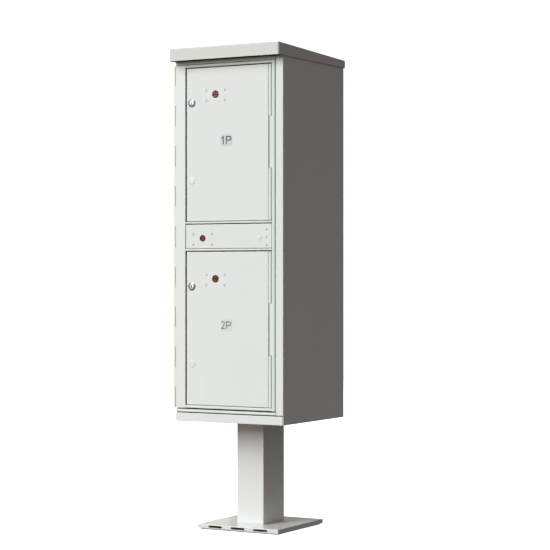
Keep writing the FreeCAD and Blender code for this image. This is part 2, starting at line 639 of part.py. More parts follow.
def rails():
    lip = STOP_LIP - 1
    rail("master_bottom_rail", Z_FRAME_BOTTOM, Z_FRAME_BOTTOM + BOTTOM_RAIL_HEIGHT, lip, 0)
    for name, z in (("lower_mid_rail", Z_LOWER_MID_RAIL), ("upper_mid_rail", Z_UPPER_MID_RAIL)):
        rail(name, z, z + MID_RAIL_HEIGHT, lip, lip, RAIL_PROUD)
    rail("master_top_rail", Z_TOP_RAIL, Z_FRAME_TOP, 0, lip)


def hinge_pins():
    pins = []
    for z_door in (Z_LOWER_DOOR, Z_UPPER_DOOR):
        pins.append(cylinder_z(PIN_RADIUS, X_PIN, Y_PIN, z_door + 0.5, z_door + PARCEL_DOOR_HEIGHT - 0.5))
    save("parcel_hinge_pins", *pins)


# ---------------------------------------------------------------- pans with locks
def pan(x0, x1, z0, z1, depth):
    """Sheet pan: front skin with turned-back edges and softened front corners."""
    outer = block(x0, x1, Y_FRONT, Y_FRONT + depth, z0, z1)
    outer = fillet_where(outer, PAN_EDGE_RADIUS, lambda a, b: near(a.y, Y_FRONT) and near(b.y, Y_FRONT))
    inner = block(x0 + SHEET, x1 - SHEET, Y_SKIN_BACK, Y_FRONT + depth + 1, z0 + SHEET, z1 - SHEET)
    return outer.cut(inner)


def stud_places(x, z):
    """The four studs of a surface lock; their centre sits a little under the cylinder's axis."""
    return corners(STUD_SPACING_X, STUD_SPACING_Z, x, z - STUD_CENTRE_DROP)


def lock_openings(x, z, radius):
    """Clearance holes in a skin for a surface lock's cylinder and its four studs."""
    tools = [cylinder_y(radius + 0.6, x, z, Y_FRONT - 1, Y_SKIN_BACK + 1)]
    for sx, sz in stud_places(x, z):
        tools.append(cylinder_y(STUD_RADIUS, sx, sz, Y_FRONT - 1, Y_SKIN_BACK + 1))
    return tools


def lock_case(name, x, z, bolt_side, radius):
    """Surface lock case behind the skin, hollow, with a cylinder bore and a bolt slot."""
    hx, hz = LOCK_CASE_LENGTH / 2, LOCK_CASE_HEIGHT / 2
    y0, y1 = Y_SKIN_BACK, Y_SKIN_BACK + LOCK_CASE_DEPTH
    w = LOCK_CASE_WALL
    z_low, z_high = z - STUD_CENTRE_DROP - hz, z - STUD_CENTRE_DROP + hz
    case = block(x - hx, x + hx, y0, y1, z_low, z_high)
    case = case.cut(block(x - hx + w, x + hx - w, y0 + w, y1 - w, z_low + w, z_high - w))
    case = case.cut(cylinder_y(radius + RUNNING_CLEARANCE, x, z, y0 - 1, y0 + w + 1))
    xa, xb = sorted((x + bolt_side * (hx - w - 1), x + bolt_side * (hx + 1)))
    case = case.cut(block(xa, xb, Y_BOLT - 0.4, Y_BOLT + BOLT_THICKNESS + 0.4,
                          z - BOLT_HEIGHT / 2 - 0.4, z + BOLT_HEIGHT / 2 + 0.4))
    for sx, sz in stud_places(x, z):
        case = case.cut(cylinder_y(STUD_RADIUS, sx, sz, y0 - 1, y0 + w + 1))
    save(name, case)


def lock_studs(name, x, z):
    studs = []
    for sx, sz in stud_places(x, z):
        head = dome(sx, Y_FRONT, sz, STUD_HEAD_RADIUS, STUD_HEAD_HEIGHT)
        shank = cylinder_y(STUD_RADIUS, sx, sz, Y_FRONT, Y_SKIN_BACK + LOCK_CASE_WALL + 4)
        studs.append(union([head, shank]))
    save(name, *studs)


def lock_cylinder(name, x, z, bolt_side, radius):
    """Key cylinder with a level keyway, a drive disc inside the case and a crank pin for the fork."""
    y0 = Y_FRONT + CYLINDER_RECESS
    y1 = Y_BOLT - 2.0
    y_disc = Y_SKIN_BACK + LOCK_CASE_WALL + 0.3
    body = union([cylinder_y(radius, x, z, y0, y1), cylinder_y(DRIVE_DISC_RADIUS, x, z, y_disc, y1)])
    keyway = block(x - 7.0, x + 7.0, y0 - 1, y0 + 4.0, z - 1.1, z + 1.1)
    body = body.cut(keyway)
    pin_x = x - bolt_side * BOLT_THROW / 2
    crank_pin = cylinder_y(CRANK_PIN_RADIUS, pin_x, z + CRANK_RISE, y1 - 1, Y_BOLT + BOLT_THICKNESS - 0.3)
    save(name, union([body, crank_pin]))


def lock_bolt(name, x, z, bolt_side, x_tip):
    """Flat sliding bolt, drawn back, with an upright fork around the crank pin."""
    pin_x = x - bolt_side * BOLT_THROW / 2
    x_tail = pin_x - bolt_side * (FORK_SLOT / 2 + FORK_PRONG)
    xa, xb = sorted((x_tail, x_tip))
    y0, y1 = Y_BOLT, Y_BOLT + BOLT_THICKNESS
    bar = block(xa, xb, y0, y1, z - BOLT_HEIGHT / 2, z + BOLT_HEIGHT / 2)
    reach = FORK_SLOT / 2 + FORK_PRONG
    fork = block(pin_x - reach, pin_x + reach, y0, y1, z, z + CRANK_RADIUS + 5.0)
    slot = block(pin_x - FORK_SLOT / 2, pin_x + FORK_SLOT / 2, y0 - 1, y1 + 1,
                 z + CRANK_RISE - CRANK_PIN_RADIUS - 0.8, z + CRANK_RADIUS + 6.0)
    save(name, union([bar, fork]).cut(slot))


def hole_plug(name, x, z, flange_radius, stem_radius):
    flange = dome(x, Y_FRONT, z, flange_radius, 1.6)
    stem = cylinder_y(stem_radius, x, z, Y_FRONT, Y_FRONT + 9)
    save(name, union([flange, stem]))


def customer_lock(prefix, x, z):
    """Cam lock: fixed barrel and nut, turning plug with an upright keyway, cam hanging down."""
    y_face = Y_FRONT - CUSTOMER_BEZEL_PROUD
    y_end = Y_FRONT + CUSTOMER_BODY_LENGTH
    bezel = cylinder_y(CUSTOMER_BEZEL_RADIUS, x, z, y_face, Y_FRONT)
    rim = [e for e in bezel.Edges if near(e.BoundBox.YMax, y_face)]
    bezel = bezel.makeFillet(1.6, rim)
    barrel = union([bezel, cylinder_y(CUSTOMER_BODY_RADIUS, x, z, Y_FRONT - 1, y_end)])
    bore = cylinder_y(CUSTOMER_PLUG_RADIUS + RUNNING_CLEARANCE, x, z, y_face - 1, y_end + 1)
    save(prefix + "_customer_lock_barrel", barrel.cut(bore))
    nut = hexagon(NUT_ACROSS_FLATS, (x, Y_SKIN_BACK, z), "y", NUT_THICKNESS)
    nut = nut.cut(cylinder_y(CUSTOMER_BODY_RADIUS, x, z, Y_SKIN_BACK - 1, Y_SKIN_BACK + NUT_THICKNESS + 1))
    save(prefix + "_customer_lock_nut", nut)
    plug = cylinder_y(CUSTOMER_PLUG_RADIUS, x, z, y_face + 0.5, y_end + 1.0)
    plug = plug.cut(block(x - 1.1, x + 1.1, y_face - 1, y_face + 4.0, z - 4.6, z + 4.6))
    y_cam = y_end + 1.0
    tail = cylinder_y(3.5, x, z, y_cam - 1, y_cam + CAM_THICKNESS + 1.5)
    save(prefix + "_customer_lock_plug", union([plug, tail]))
    hub = cylinder_y(CAM_WIDTH / 2, x, z, y_cam, y_cam + CAM_THICKNESS)
    arm = block(x - CAM_WIDTH / 2, x + CAM_WIDTH / 2, y_cam, y_cam + CAM_THICKNESS, z - CAM_REACH, z)
    z_tip = z - CAM_REACH
    arm = fillet_where(arm, 4.0, lambda a, b: near(a.z, z_tip) and near(b.z, z_tip) and not near(a.y, b.y))
    cam = union([hub, arm]).cut(cylinder_y(3.5, x, z, y_cam - 1, y_cam + CAM_THICKNESS + 1))
    save(prefix + "_customer_lock_cam", cam)


def parcel_door(prefix, z0):
    z1 = z0 + PARCEL_DOOR_HEIGHT
    z_customer = z1 - CUSTOMER_LOCK_DROP
    z_carrier = z1 - CARRIER_LOCK_DROP
    z_plug = z1 - HOLE_PLUG_DROP
    z_number = z1 - NUMBER_DROP
    levels = door_thirds(z0)
    pieces = [pan(X_DOOR_LEFT, X_DOOR_RIGHT, z0, z1, PAN_DEPTH)]
    pieces += knuckle(levels[0], levels[1] - KNUCKLE_GAP, -1)
    pieces += knuckle(levels[2] + KNUCKLE_GAP, levels[3], -1)
    door = union(pieces)
    door = door.cut(cylinder_z(PIN_RADIUS + RUNNING_CLEARANCE, X_PIN, Y_PIN, z0 - 1, z1 + 1))
    for za, zb in ((levels[0] - 1, levels[1]), (levels[2], levels[3] + 1)):
        door = door.cut(cylinder_z(GROOVE_RADIUS, X_GROOVE, Y_FRONT, za, zb))
    for tool in lock_openings(CARRIER_LOCK_X, z_carrier, CARRIER_CYLINDER_RADIUS):
        door = door.cut(tool)
    door = door.cut(cylinder_y(CUSTOMER_BODY_RADIUS, CUSTOMER_LOCK_X, z_customer,
                               Y_FRONT - 1, Y_SKIN_BACK + 1))
    door = door.cut(cylinder_y(8.0, HOLE_PLUG_X, z_plug, Y_FRONT - 1, Y_SKIN_BACK + 1))
    save(prefix + "_door_panel", door)
    customer_lock(prefix, CUSTOMER_LOCK_X, z_customer)
    lock_case(prefix + "_carrier_lock_case", CARRIER_LOCK_X, z_carrier, -1, CARRIER_CYLINDER_RADIUS)
    lock_studs(prefix + "_carrier_lock_studs", CARRIER_LOCK_X, z_carrier)
    lock_cylinder(prefix + "_carrier_lock_cylinder", CARRIER_LOCK_X, z_carrier, -1,
                  CARRIER_CYLINDER_RADIUS)
    lock_bolt(prefix + "_carrier_lock_bolt", CARRIER_LOCK_X, z_carrier, -1, X_DOOR_LEFT + 1.5)
    hole_plug(prefix + "_hole_plug", HOLE_PLUG_X, z_plug, 12.5, 8.0)
    half_x, half_z = NUMBER_SIZE[0] / 2, NUMBER_SIZE[1] / 2
    save(prefix + "_number_label", block(NUMBER_X - half_x, NUMBER_X + half_x, Y_FRONT - 0.25, Y_FRONT,
                                         z_number - half_z, z_number + half_z))


def centre_panel():
    z0, z1 = Z_PANEL, Z_PANEL + CENTRE_PANEL_HEIGHT
    z_lock = z1 - MASTER_LOCK_DROP
    z_plug = z1 - SMALL_PLUG_DROP
    panel = pan(X_PANEL_LEFT, X_PANEL_RIGHT, z0, z1, CENTRE_PAN_DEPTH)
    panel = panel.cut(cylinder_z(GROOVE_RADIUS, X_GROOVE, Y_FRONT, z0 - 1, z1 + 1))
    for tool in lock_openings(MASTER_LOCK_X, z_lock, MASTER_CYLINDER_RADIUS):
        panel = panel.cut(tool)
    panel = panel.cut(cylinder_y(5.0, SMALL_PLUG_X, z_plug, Y_FRONT - 1, Y_SKIN_BACK + 1))
    save("centre_panel", panel)
    hole_plug("centre_panel_plug", SMALL_PLUG_X, z_plug, 8.0, 5.0)
    z_mid = z_plug + 1.5
    save("centre_panel_rivets", *[dome(PANEL_RIVET_X, Y_FRONT, z_mid + i * 25.0, 3.5, 1.1)
                                  for i in (-1, 0, 1)])
    lock_case("master_lock_case", MASTER_LOCK_X, z_lock, 1, MASTER_CYLINDER_RADIUS)
    lock_studs("master_lock_studs", MASTER_LOCK_X, z_lock)
    lock_cylinder("master_lock_cylinder", MASTER_LOCK_X, z_lock, 1, MASTER_CYLINDER_RADIUS)
    lock_bolt("master_lock_bolt", MASTER_LOCK_X, z_lock, 1, X_FRAME_RIGHT - 1.8)
    guides = []
    for x in (-5.0, 70.0):
        guide = block(x, x + 12, Y_SKIN_BACK, Y_BOLT + BOLT_THICKNESS + 2.5, z_lock - 13, z_lock + 13)
        slot = block(x - 1, x + 13, Y_BOLT - 0.4, Y_BOLT + BOLT_THICKNESS + 0.4,
                     z_lock - BOLT_HEIGHT / 2 - 0.4, z_lock + BOLT_HEIGHT / 2 + 0.4)
        guides.append(guide.cut(slot))
    save("master_bolt_guides", *guides)


# ---------------------------------------------------------------- build
base_plate()
pedestal_post()
pedestal_top_flange()
pedestal_fasteners()
floor_panel()
front_sill()
threshold_and_header()
side_panels()
back_and_roof()
hood()
shelves()
shell_rivets()
hinge_leaf()
left_stile()
right_stile()
rails()
hinge_pins()
centre_panel()
parcel_door("lower", Z_LOWER_DOOR)
parcel_door("upper", Z_UPPER_DOOR)
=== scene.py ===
import json
import math

import bmesh
import bpy
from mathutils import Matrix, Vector


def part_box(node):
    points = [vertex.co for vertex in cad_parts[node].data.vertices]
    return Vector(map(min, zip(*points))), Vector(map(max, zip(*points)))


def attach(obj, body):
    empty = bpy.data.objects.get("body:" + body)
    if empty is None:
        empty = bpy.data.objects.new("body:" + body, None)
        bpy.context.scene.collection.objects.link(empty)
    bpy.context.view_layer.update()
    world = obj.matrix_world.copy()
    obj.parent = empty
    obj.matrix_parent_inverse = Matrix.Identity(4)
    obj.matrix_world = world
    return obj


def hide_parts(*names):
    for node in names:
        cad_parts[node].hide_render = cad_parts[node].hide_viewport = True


# Looks of the pedestal parcel mailbox. Metres, in the CAD frame: +Z up, the front faces -Y.

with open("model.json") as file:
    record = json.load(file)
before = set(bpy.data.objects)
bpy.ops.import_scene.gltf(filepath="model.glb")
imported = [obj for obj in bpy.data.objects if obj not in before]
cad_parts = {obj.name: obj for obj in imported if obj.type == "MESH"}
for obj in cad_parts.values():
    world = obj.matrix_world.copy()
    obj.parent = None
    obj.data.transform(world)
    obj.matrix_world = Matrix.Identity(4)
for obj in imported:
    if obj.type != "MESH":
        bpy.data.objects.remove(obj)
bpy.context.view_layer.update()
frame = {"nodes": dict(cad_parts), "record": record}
NODES = frame["nodes"]
SCENE = bpy.context.scene


# ---------------------------------------------------------------- camera
VIEW_AZIMUTH = math.radians(29.548)
CAMERA_PLACE = (3.051, -5.286, 0.8386)
CAMERA_LENS = 119.8


def make_camera():
    data = bpy.data.cameras.new("camera")
    data.lens = CAMERA_LENS
    data.sensor_width = 36.0
    data.clip_start = 0.05
    data.clip_end = 60.0
    camera = bpy.data.objects.new("camera", data)
    camera.location = CAMERA_PLACE
    camera.rotation_euler = (math.radians(90), 0.0, VIEW_AZIMUTH)
    SCENE.collection.objects.link(camera)
    SCENE.camera = camera


# ---------------------------------------------------------------- material helpers
def new_material(name):
    """An empty node material with its Principled shader; returns material, tree, shader."""
    material = bpy.data.materials.new(name)
    material.use_nodes = True
    tree = material.node_tree
    tree.nodes.clear()
    shader = tree.nodes.new("ShaderNodeBsdfPrincipled")
    output = tree.nodes.new("ShaderNodeOutputMaterial")
    tree.links.new(shader.outputs["BSDF"], output.inputs["Surface"])
    return material, tree, shader


def place(tree):
    return tree.nodes.new("ShaderNodeTexCoord").outputs["Object"]


def noise(tree, scale, detail=2.0, roughness=0.5, stretch=None):
    """Noise in the object's own metres; scale is features per metre."""
    node = tree.nodes.new("ShaderNodeTexNoise")
    node.inputs["Scale"].default_value = scale
    node.inputs["Detail"].default_value = detail
    node.inputs["Roughness"].default_value = roughness
    source = place(tree)
    if stretch:
        mapping = tree.nodes.new("ShaderNodeMapping")
        mapping.inputs["Scale"].default_value = stretch
        tree.links.new(source, mapping.inputs["Vector"])
        source = mapping.outputs["Vector"]
    tree.links.new(source, node.inputs["Vector"])
    return node.outputs["Fac"]


def span(tree, value, low, high, to_low=0.0, to_high=1.0):
    """Maps low..high of the value to to_low..to_high, and holds it there beyond both ends."""
    node = tree.nodes.new("ShaderNodeMapRange")
    node.inputs["From Min"].default_value = low
    node.inputs["From Max"].default_value = high
    node.inputs["To Min"].default_value = to_low
    node.inputs["To Max"].default_value = to_high
    tree.links.new(value, node.inputs["Value"])
    return node.outputs["Result"]


def blend(tree, amount, first, second):
    """Mixes two colours, each a tuple or a socket."""
    node = tree.nodes.new("ShaderNodeMix")
    node.data_type = "RGBA"
    for socket, value in ((node.inputs[6], first), (node.inputs[7], second)):
        if isinstance(value, tuple):
            socket.default_value = (*value, 1.0)
        else:
            tree.links.new(value, socket)
    tree.links.new(amount, node.inputs[0])
    return node.outputs[2]


def multiply(tree, first, second):
    node = tree.nodes.new("ShaderNodeMath")
    node.operation = "MULTIPLY"
    tree.links.new(first, node.inputs[0])
    if isinstance(second, float):
        node.inputs[1].default_value = second
    else:
        tree.links.new(second, node.inputs[1])
    return node.outputs[0]


def bump(tree, shader, height, strength, distance, normal=None):
    node = tree.nodes.new("ShaderNodeBump")
    node.inputs["Strength"].default_value = strength
    node.inputs["Distance"].default_value = distance
    tree.links.new(height, node.inputs["Height"])
    if normal:
        tree.links.new(normal, node.inputs["Normal"])
    tree.links.new(node.outputs["Normal"], shader.inputs["Normal"])


# ---------------------------------------------------------------- materials
EDGE_RADIUS = 0.0006
DUST = (0.95, 0.94, 0.91)
WORN_METAL = (0.46, 0.45, 0.43)
LEFT_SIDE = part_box("left_side_panel")[0].x - 0.001
CABINET_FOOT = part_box("front_sill")[0].z
CABINET_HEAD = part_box("hood")[1].z


def soft_edges(tree):
    """Normal with the sharp edges eased in shading, and a mask of where the edges are."""
    bevel = tree.nodes.new("ShaderNodeBevel")
    bevel.samples = 4
    bevel.inputs["Radius"].default_value = EDGE_RADIUS
    geometry = tree.nodes.new("ShaderNodeNewGeometry")
    dot = tree.nodes.new("ShaderNodeVectorMath")
    dot.operation = "DOT_PRODUCT"
    tree.links.new(bevel.outputs["Normal"], dot.inputs[0])
    tree.links.new(geometry.outputs["Normal"], dot.inputs[1])
    return bevel.outputs["Normal"], span(tree, dot.outputs["Value"], 0.998, 0.93)


def crevice_shade(tree, depth=0.011):
    """1 where the surface lies open, less in gaps and corners, where it marks the painted shade."""
    shelter = tree.nodes.new("ShaderNodeAmbientOcclusion")
    shelter.samples = 6
    shelter.inputs["Distance"].default_value = depth
    return span(tree, shelter.outputs["AO"], 0.18, 0.54)


def powder_coat(name, colour, roughness, chips=0.3, top_shade=1.0, barrel_highlight=None, peel=0.1):
    """Stoved powder coat: orange peel, faint run-off streaks, painted shade in the gaps and corners, thin
    worn edges.

    The top tone is the paint's tone at the top of the cabinet, a painted shade that darkens it towards the
    top; the trim colour is that of what lies beyond the cabinet's left side, the hinge barrel, a cream
    painted highlight."""
    material, tree, shader = new_material(name)
    normal, edge = soft_edges(tree)
    axes = tree.nodes.new("ShaderNodeSeparateXYZ")
    tree.links.new(place(tree), axes.inputs[0])
    cloud = span(tree, noise(tree, 6.0, 4.0), 0.35, 0.65)
    streak = span(tree, noise(tree, 26.0, 3.0, 0.6, (1.0, 1.0, 0.07)), 0.45, 0.75)
    clean = blend(tree, cloud, colour, tuple(c * 0.98 for c in colour))
    dusty = blend(tree, multiply(tree, streak, 0.4), clean, tuple(c * f for c, f in zip(colour, DUST)))
    # Painted shade: the paint darkens towards the top of the cabinet.
    if top_shade < 1.0:
        height = span(tree, axes.outputs["Z"], CABINET_FOOT, CABINET_HEAD)
        dusty = blend(tree, height, dusty, tuple(c * top_shade for c in colour))
    # Painted highlight: the hinge barrel beyond the left side turns cream, for the warm light it catches.
    if barrel_highlight:
        dusty = blend(tree, span(tree, axes.outputs["X"], LEFT_SIDE, LEFT_SIDE - 0.0005), dusty, barrel_highlight)
    worn = multiply(tree, multiply(tree, edge, span(tree, noise(tree, 130.0, 4.0, 0.7), 0.5, 0.62)), chips)
    coat = blend(tree, worn, dusty, WORN_METAL)
    # Painted shade: the paint darkens to a twentieth of its colour in gaps and corners.
    gap_shaded_coat = blend(tree, crevice_shade(tree), tuple(c * 0.05 for c in colour), coat)
    tree.links.new(gap_shaded_coat, shader.inputs["Base Color"])
    patch = span(tree, noise(tree, 34.0, 3.0), 0.3, 0.7, roughness - 0.02, roughness + 0.03)
    tree.links.new(patch, shader.inputs["Roughness"])
    bump(tree, shader, noise(tree, 620.0, 1.5), peel, 0.0004, normal)
    return material


def bare_metal(name, colour, roughness, grain=(1.0, 1.0, 1.0), scale=300.0, relief=0.08, metallic=1.0):
    """Plain metal: streaked or mottled in tone and gloss, dull where it is rough."""
    material, tree, shader = new_material(name)
    shader.inputs["Metallic"].default_value = metallic
    normal, edge = soft_edges(tree)
    streak = noise(tree, scale, 3.0, 0.6, grain)
    mottled = blend(tree, streak, colour, tuple(c * 0.78 for c in colour))
    bright = tuple(min(1.0, c * 1.25) for c in colour)
    tree.links.new(blend(tree, multiply(tree, edge, 0.6), mottled, bright), shader.inputs["Base Color"])
    gloss = span(tree, streak, 0.3, 0.7, roughness * 0.8, roughness * 1.25)
    tree.links.new(gloss, shader.inputs["Roughness"])
    bump(tree, shader, streak, relief, 0.0002, normal)
    return material


def plastic(name, colour, roughness, tint=0.93, gap_shade_tone=0.25):
    """Moulded or printed plastic with a fine texture, and painted shade in its gaps unless the gap tone is
    1.
    """
    material, tree, shader = new_material(name)
    normal, edge = soft_edges(tree)
    cloud = blend(tree, noise(tree, 160.0, 2.0), colour, tuple(c * tint for c in colour))
    cloud = blend(tree, multiply(tree, edge, 0.4), cloud, tuple(c * 0.9 for c in colour))
    # Painted shade: the plastic darkens in gaps and along the rim where it meets the panel.
    if gap_shade_tone < 1.0:
        cloud = blend(tree, crevice_shade(tree, 0.003), tuple(c * gap_shade_tone for c in colour), cloud)
    tree.links.new(cloud, shader.inputs["Base Color"])
    tree.links.new(span(tree, noise(tree, 900.0), 0.3, 0.7, roughness - 0.05, roughness + 0.05),
                   shader.inputs["Roughness"])
    bump(tree, shader, noise(tree, 1800.0), 0.05, 0.0001, normal)
    return material


PANEL_COLOUR = (0.775, 0.81, 0.787)
# Cream painted highlight on the hinge barrel, standing in for warm light from the left.
CREAM_HIGHLIGHT = (0.84, 0.79, 0.68)
MATERIALS = {
    "painted_panel": powder_coat("powder_coat_cabinet", PANEL_COLOUR, 0.42, top_shade=0.865),
    "painted_pedestal": powder_coat("powder_coat_pedestal", (0.775, 0.79, 0.78), 0.32, peel=0.04),
    "mill_aluminium": bare_metal("mill_aluminium", (0.74, 0.75, 0.76), 0.38, (1.0, 1.0, 12.0), 90.0),
    "zinc_steel": bare_metal("zinc_steel", (0.62, 0.63, 0.64), 0.34),
    "lock_steel": bare_metal("lock_steel", (0.5, 0.51, 0.52), 0.36),
    "bronze_cylinder": bare_metal("bronze_cylinder", (0.10, 0.028, 0.02), 0.42, relief=0.25),
    "chrome": bare_metal("chrome", (0.34, 0.37, 0.42), 0.34, relief=0.02, metallic=0.7),
    "white_plastic": plastic("white_plastic", (0.77, 0.80, 0.785), 0.4),
    "label_vinyl": plastic("label_vinyl", (0.575, 0.62, 0.63), 0.5, gap_shade_tone=1.0),
}
PAINTED_HOOD = powder_coat("powder_coat_hood", (0.61, 0.61, 0.58), 0.42)
# Painted shade: the stud and rivet heads are painted darker than the panel, standing in for their shading.
PAINTED_STUD = powder_coat("powder_coat_stud", (0.50, 0.53, 0.52), 0.5)
# The hinge leaf is painted cream as a painted highlight.
PAINTED_HINGE_HIGHLIGHT = powder_coat("powder_coat_hinge_highlight", CREAM_HIGHLIGHT, 0.34)
# The stile's paint is 2 percent lighter than the panel's: painted light for the extra light it catches from
# the left.
PAINTED_STILE = powder_coat("powder_coat_stile", tuple(c * 1.02 for c in PANEL_COLOUR), 0.4,
                            top_shade=0.90, barrel_highlight=CREAM_HIGHLIGHT)
PAINTED_PLATE = powder_coat("powder_coat_plate", (0.80, 0.81, 0.79), 0.15, peel=0.03)
FADED_LABEL = plastic("label_vinyl_faded", (0.70, 0.745, 0.72), 0.5, gap_shade_tone=1.0)
PRINT_INK = plastic("print_ink", (0.07, 0.085, 0.11), 0.55, gap_shade_tone=1.0)
FADED_INK = plastic("print_ink_faded", (0.19, 0.21, 0.22), 0.55, gap_shade_tone=1.0)
BRONZE_PLUG = bare_metal("bronze_plug", (0.17, 0.052, 0.04), 0.40, relief=0.25)
SATIN_CHROME = bare_metal("chrome_satin", (0.80, 0.82, 0.84), 0.42, relief=0.04)
# Painted shade: near-black metal on the keyway's walls and floor, for the shade inside it.
KEYWAY_SHADE = bare_metal("keyway_shade", (0.02, 0.018, 0.018), 0.6)


def paint_nodes():
    for part in frame["record"]["subparts"]:
        node = NODES[part["node"]]
        node.data.materials.clear()
        node.data.materials.append(MATERIALS[part["material_slot"]])
    for name in ("upper_carrier_lock_studs", "lower_carrier_lock_studs", "master_lock_studs",
                 "centre_panel_rivets"):
        NODES[name].data.materials[0] = PAINTED_STUD
    NODES["lower_number_label"].data.materials[0] = FADED_LABEL
    NODES["master_hinge_leaf"].data.materials[0] = PAINTED_HINGE_HIGHLIGHT
    NODES["hood"].data.materials[0] = PAINTED_HOOD
    NODES["master_left_stile"].data.materials[0] = PAINTED_STILE
    NODES["base_plate"].data.materials[0] = PAINTED_PLATE


# ---------------------------------------------------------------- round pieces
ROUND = 64
SMOOTH_ANGLE = math.radians(32)


def circle(x, y, z, radius):
    """Points around the axis that runs along Y through (x, z)."""
    turns = [2 * math.pi * i / ROUND for i in range(ROUND)]
    return [Vector((x + radius * math.sin(a), y, z + radius * math.cos(a))) for a in turns]


def keyway(x, y, z, half_width, half_height):
    """Outline of a keyway: a rounded slot that waves a little along its length."""
    points = []
    for i in range(ROUND):
        a = 2 * math.pi * i / ROUND
        across = math.copysign(abs(math.sin(a)) ** 0.3, math.sin(a))
        up = math.copysign(abs(math.cos(a)) ** 0.3, math.cos(a))
        wave_x = 0.35 * half_width * math.sin(math.pi * up) if half_height > half_width else 0.0
        wave_z = 0.35 * half_height * math.sin(math.pi * across) if half_width > half_height else 0.0
        points.append(Vector((x + half_width * across + wave_x, y, z + half_height * up + wave_z)))
    return points


def loft(form, loops, materials=None):
    """Closed skin over a row of loops with the same number of points."""
    rings = [[form.verts.new(point) for point in loop] for loop in loops]
    for row, (first, second) in enumerate(zip(rings, rings[1:])):
        for i in range(len(first)):
            j = (i + 1) % len(first)
            face = form.faces.new((first[i], first[j], second[j], second[i]))
            face.material_index = materials[row] if materials else 0
    form.faces.new(rings[0])
    cap = form.faces.new(rings[-1])
    cap.material_index = materials[-1] if materials else 0


def make_piece(name, form, materials, body, replaced=None):
    """Turns the mesh under way into a piece that rides on a body."""
    bmesh.ops.recalc_face_normals(form, faces=form.faces)
    mesh = bpy.data.meshes.new(name)
    form.to_mesh(mesh)
    form.free()
    for face in mesh.polygons:
        face.use_smooth = True
    mesh.set_sharp_from_angle(angle=SMOOTH_ANGLE)
    for material in materials:
        mesh.materials.append(material)
    piece = bpy.data.objects.new(name, mesh)
    SCENE.collection.objects.link(piece)
    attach(piece, body)
    if replaced:
        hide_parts(replaced)


def middle(node):
    low_corner, high_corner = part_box(node)
    return (low_corner + high_corner) / 2


# ---------------------------------------------------------------- customer locks
BARREL_RADIUS = 0.0095
THREAD_PITCH = 0.0015
THREAD_DEPTH = 0.0006
PLUG_CLEARANCE = 0.0002
PLUG_TAIL_RADIUS = 0.0035


def customer_barrel(prefix):
    """Chrome bezel with a rolled rim and a dished ring, on a threaded barrel."""
    node = prefix + "_customer_lock_barrel"
    low_corner, high_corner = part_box(node)
    x, z = middle(node).x, middle(node).z
    rim = (high_corner.x - low_corner.x) / 2
    face, back = low_corner.y, high_corner.y
    plug_low, plug_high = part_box(prefix + "_customer_lock_plug")
    bore = (plug_high.x - plug_low.x) / 2 + PLUG_CLEARANCE
    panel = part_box(prefix + "_number_label")[1].y
    proud = panel - face
    loops = [circle(x, back, z, bore), circle(x, back, z, BARREL_RADIUS - THREAD_DEPTH)]
    y = back - THREAD_PITCH / 2
    while y > panel + 2 * THREAD_PITCH:
        loops.append(circle(x, y, z, BARREL_RADIUS))
        loops.append(circle(x, y - THREAD_PITCH / 2, z, BARREL_RADIUS - THREAD_DEPTH))
        y -= THREAD_PITCH
    loops.append(circle(x, panel, z, BARREL_RADIUS - THREAD_DEPTH))
    loops.append(circle(x, panel, z, rim))
    loops.append(circle(x, panel - 0.0005, z, rim))
    loops.append(circle(x, panel - 0.0008, z, rim - 0.0002))
    loops.append(circle(x, face + 0.0002, z, rim * 0.72))
    loops.append(circle(x, face, z, rim * 0.69))
    loops.append(circle(x, face, z, rim * 0.62))
    loops.append(circle(x, face + 0.0006, z, rim * 0.58))
    loops.append(circle(x, face + 0.0006, z, bore))
    form = bmesh.new()
    loft_open(form, loops)
    make_piece(prefix + "_lock_barrel_detail", form, [MATERIALS["chrome"]],
               prefix + "_parcel_door", node)


def loft_open(form, loops):
    """Ring-shaped skin: the last loop joins the first, which leaves the bore open."""
    rings = [[form.verts.new(point) for point in loop] for loop in loops]
    rings.append(rings[0])
    for first, second in zip(rings, rings[1:]):
        for i in range(ROUND):
            j = (i + 1) % ROUND
            form.faces.new((first[i], first[j], second[j], second[i]))


def customer_plug(prefix):
    """Turning plug with a raised face, an upright keyway and the round tail behind."""
    node = prefix + "_customer_lock_plug"
    low_corner, high_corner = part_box(node)
    x, z = middle(node).x, middle(node).z
    radius = (high_corner.x - low_corner.x) / 2
    face, back = low_corner.y, high_corner.y
    tail = PLUG_TAIL_RADIUS
    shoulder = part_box(prefix + "_customer_lock_cam")[0].y
    loops = [circle(x, back, z, tail - 0.0005), circle(x, back - 0.0005, z, tail),
             circle(x, shoulder, z, tail), circle(x, shoulder, z, radius),
             circle(x, face + 0.0006, z, radius),
             circle(x, face + 0.0001, z, radius - 0.0006), circle(x, face + 0.0001, z, radius * 0.84),
             circle(x, face, z, radius * 0.80)]
    materials = [0] * len(loops)
    loops += [keyway(x, face, z, 0.0017, 0.0054), keyway(x, face + 0.0003, z, 0.0015, 0.0051),
              keyway(x, face + 0.0100, z, 0.0015, 0.0051)]
    materials += [1, 1, 1]
    form = bmesh.new()
    loft(form, loops, materials)
    make_piece(prefix + "_lock_plug_detail", form, [SATIN_CHROME, KEYWAY_SHADE],
               prefix + "_customer_lock", node)


# ---------------------------------------------------------------- carrier and master locks
CRANK_PIN_RADIUS = 0.002
CRANK_PIN_OFFSET = 0.007
CASE_WALL = 0.0028
CARRIER_CYLINDER_RADIUS = 0.012
MASTER_CYLINDER_RADIUS = 0.0105


